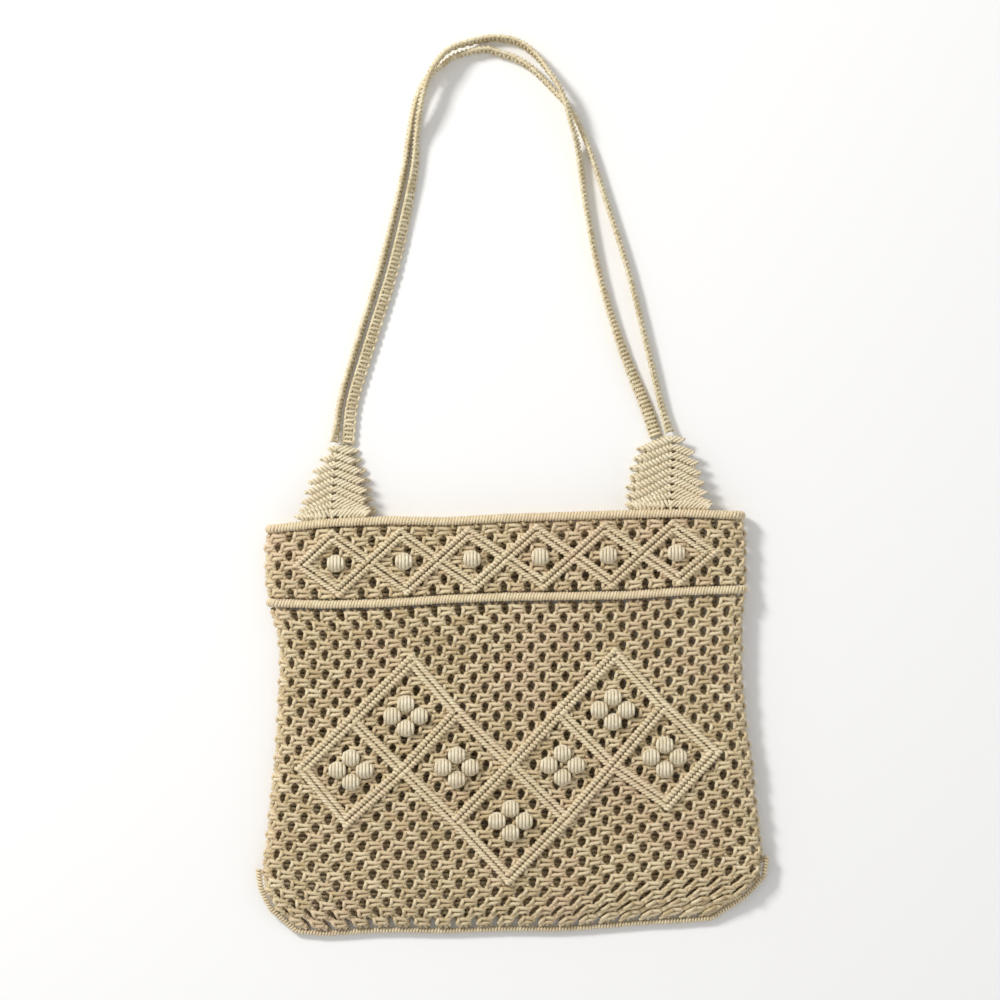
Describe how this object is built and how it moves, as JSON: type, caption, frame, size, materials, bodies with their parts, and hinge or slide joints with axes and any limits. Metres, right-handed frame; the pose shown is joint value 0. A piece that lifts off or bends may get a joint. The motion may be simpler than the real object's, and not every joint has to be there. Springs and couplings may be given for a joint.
{
  "type": "macrame shoulder bag",
  "caption": "Flat macrame bag of knotted cotton cord, open at the top, with raised diamonds and two long straps to carry it on the shoulder, laid flat on its back.",
  "frame": {"origin": "the middle of the box that holds the bag with its straps laid out, at the height of the surface that it lies on", "axes": "+X to the bag's right as seen from its front, +Y from the hem to the top of the straps, +Z out of the front of the bag"},
  "size_m": [0.3572, 0.6264, 0.0263],
  "materials": {
    "net_cord": "matte",
    "ridge_cord": "matte",
    "berry_cord": "matte",
    "tab_cord": "matte",
    "strap_cord": "matte"
  },
  "bodies": {
    "root": {"lower_net": "net_cord", "upper_band": "net_cord", "rim_ridge": "ridge_cord", "band_ridge": "ridge_cord", "hem_ridge": "ridge_cord", "lower_diamond_ridges": "ridge_cord", "upper_lozenge_ridges": "ridge_cord", "band_bobble_1": "berry_cord", "band_bobble_2": "berry_cord", "band_bobble_3": "berry_cord", "band_bobble_4": "berry_cord", "band_bobble_5": "berry_cord", "band_bobble_6": "berry_cord", "diamond_bobble_1_1": "berry_cord", "diamond_bobble_1_2": "berry_cord", "diamond_bobble_1_3": "berry_cord", "diamond_bobble_1_4": "berry_cord", "diamond_bobble_2_1": "berry_cord", "diamond_bobble_2_2": "berry_cord", "diamond_bobble_2_3": "berry_cord", "diamond_bobble_2_4": "berry_cord", "diamond_bobble_3_1": "berry_cord", "diamond_bobble_3_2": "berry_cord", "diamond_bobble_3_3": "berry_cord", "diamond_bobble_3_4": "berry_cord", "diamond_bobble_4_1": "berry_cord", "diamond_bobble_4_2": "berry_cord", "diamond_bobble_4_3": "berry_cord", "diamond_bobble_4_4": "berry_cord", "diamond_bobble_5_1": "berry_cord", "diamond_bobble_5_2": "berry_cord", "diamond_bobble_5_3": "berry_cord", "diamond_bobble_5_4": "berry_cord", "diamond_bobble_6_1": "berry_cord", "diamond_bobble_6_2": "berry_cord", "diamond_bobble_6_3": "berry_cord", "diamond_bobble_6_4": "berry_cord", "diamond_bobble_7_1": "berry_cord", "diamond_bobble_7_2": "berry_cord", "diamond_bobble_7_3": "berry_cord", "diamond_bobble_7_4": "berry_cord", "front_tab_left": "tab_cord", "front_tab_right": "tab_cord", "back_tab_left": "tab_cord", "back_tab_right": "tab_cord", "front_strap": "strap_cord", "back_strap": "strap_cord"}
  },
  "joints": []
}
